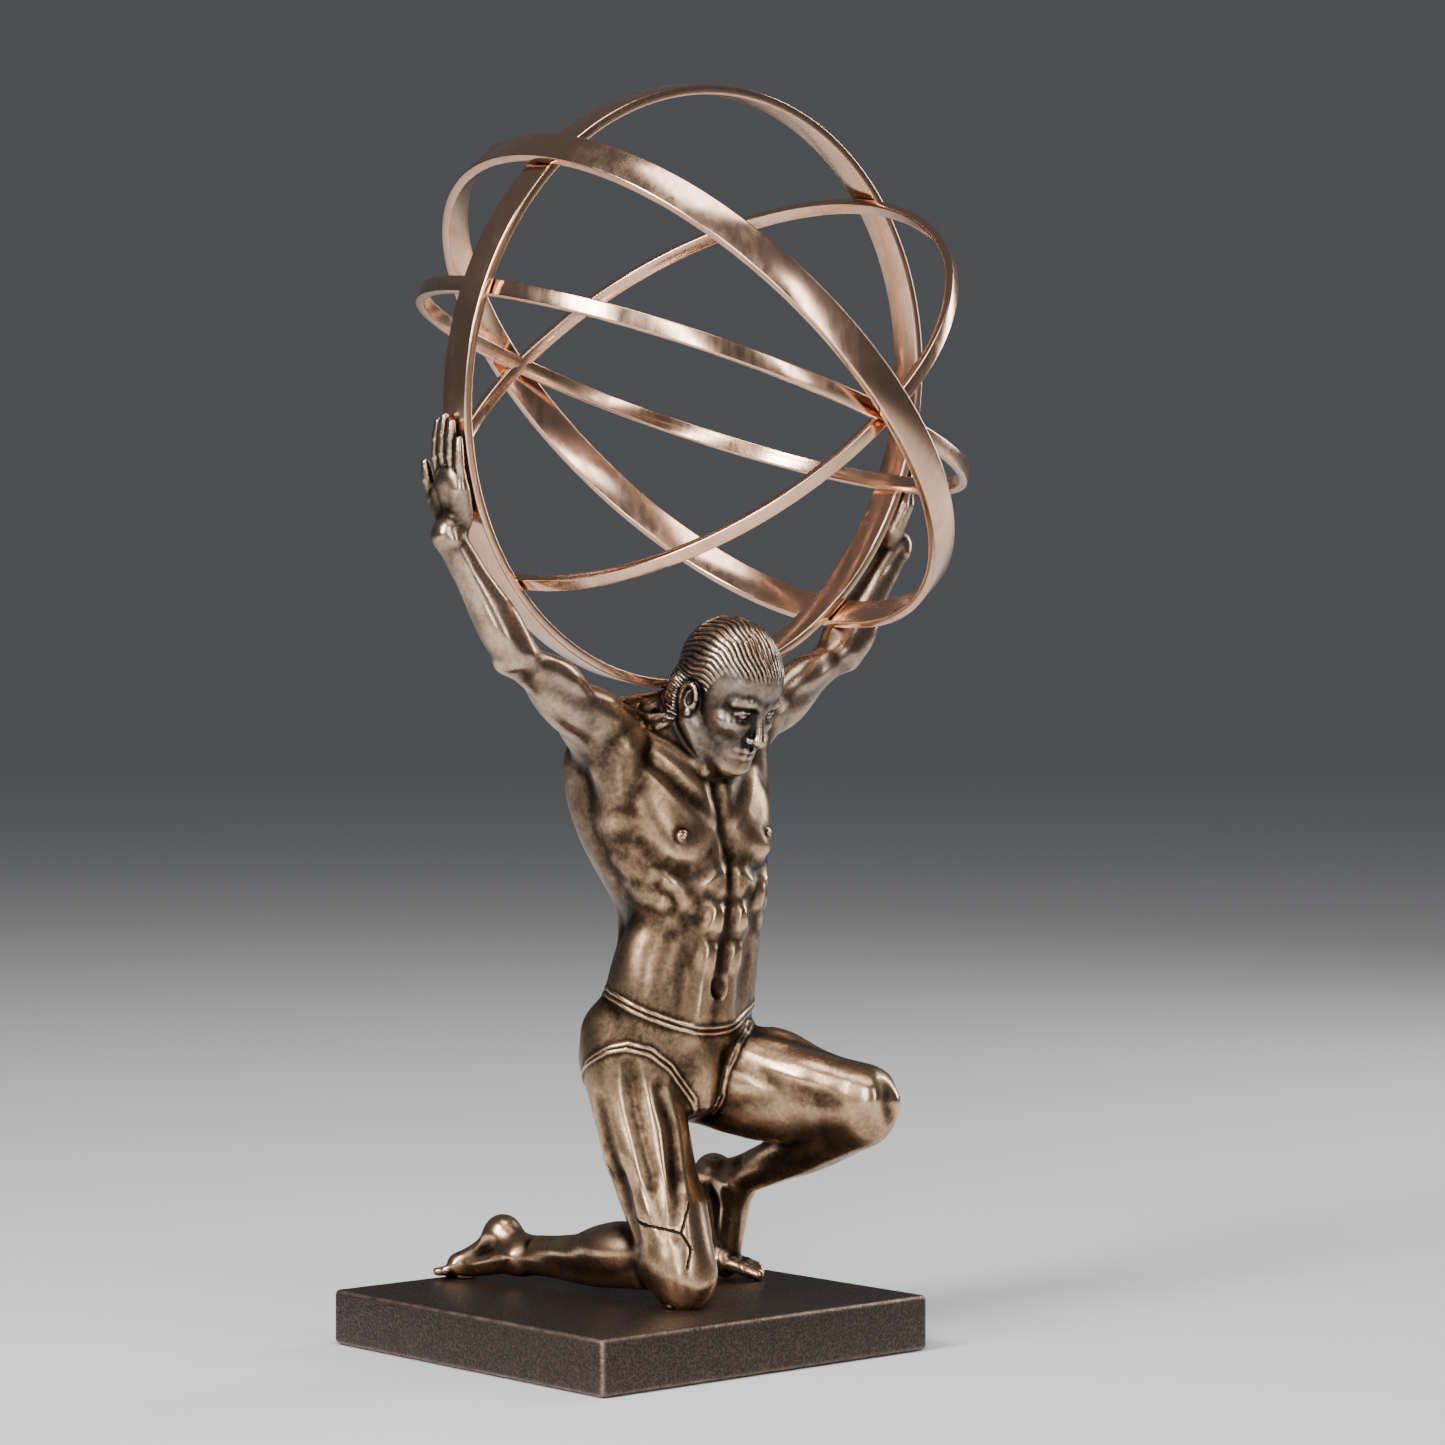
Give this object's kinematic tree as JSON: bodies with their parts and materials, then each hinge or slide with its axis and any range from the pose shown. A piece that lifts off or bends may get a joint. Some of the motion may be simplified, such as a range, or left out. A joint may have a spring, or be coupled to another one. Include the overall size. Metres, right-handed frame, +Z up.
{
  "type": "atlas statue",
  "caption": "Kneeling Atlas figure on a square plinth, arms raised, holding a globe of nested polished rings.",
  "frame": {"origin": "centre of the plinth's underside", "axes": "+Z up, -Y the way the figure's chest faces, +X towards the figure's left hand"},
  "size_m": [0.1471, 0.1469, 0.2975],
  "materials": {
    "plinth": "dark bronze patina, grained cast sides",
    "figure": "cold-cast bronze, dark patina rubbed bright on the high places",
    "ring_metal": "polished rose-gold plating"
  },
  "bodies": {
    "root": {"plinth": "plinth", "atlas_figure": "figure", "wide_ring": "ring_metal", "outer_ring": "ring_metal", "equator_ring": "ring_metal", "tilted_ring": "ring_metal"}
  },
  "joints": []
}
